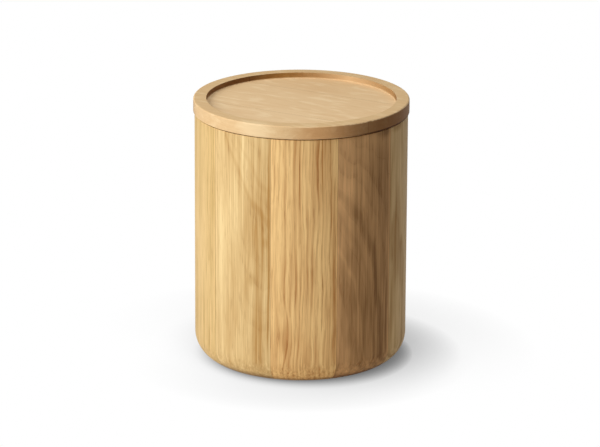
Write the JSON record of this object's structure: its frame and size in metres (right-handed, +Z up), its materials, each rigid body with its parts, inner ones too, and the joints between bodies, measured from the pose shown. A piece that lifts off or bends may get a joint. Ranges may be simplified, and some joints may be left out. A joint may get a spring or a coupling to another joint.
{
  "type": "wooden canister",
  "caption": "Turned oak storage canister: a round body of glued upright staves with a rounded foot, and a lift-off lid with a recessed top.",
  "frame": {"origin": "centre of the flat underside that the canister stands on", "axes": "+Z up along the turning axis, -Y towards the side that the picture shows, +X to its right"},
  "size_m": [0.16, 0.16, 0.1994],
  "materials": {
    "oak_staves": "oiled, open-pored oak, turned and sanded",
    "oak_base": "oiled, open-pored oak, turned and sanded",
    "oak_lid": "oiled, open-pored oak, turned and sanded",
    "silicone_seal": "matt translucent silicone"
  },
  "bodies": {
    "canister": {"stave_01": "oak_staves", "stave_02": "oak_staves", "stave_03": "oak_staves", "stave_04": "oak_staves", "stave_05": "oak_staves", "stave_06": "oak_staves", "stave_07": "oak_staves", "stave_08": "oak_staves", "stave_09": "oak_staves", "stave_10": "oak_staves", "base_board_front": "oak_base", "base_board_middle": "oak_base", "base_board_back": "oak_base"},
    "seal": {"lid_seal": "silicone_seal"},
    "lid": {"lid_board_front": "oak_lid", "lid_board_middle": "oak_lid", "lid_board_back": "oak_lid"}
  },
  "joints": [
    {"name": "lid_lift", "type": "slide", "parent": "canister", "child": "seal", "axis": [0, 0, 1], "range_m": [0, 0.15]},
    {"name": "lid_turn", "type": "hinge", "parent": "seal", "child": "lid", "pos_m": [0, 0, 0.1889], "axis": [0, 0, 1], "continuous": true}
  ]
}
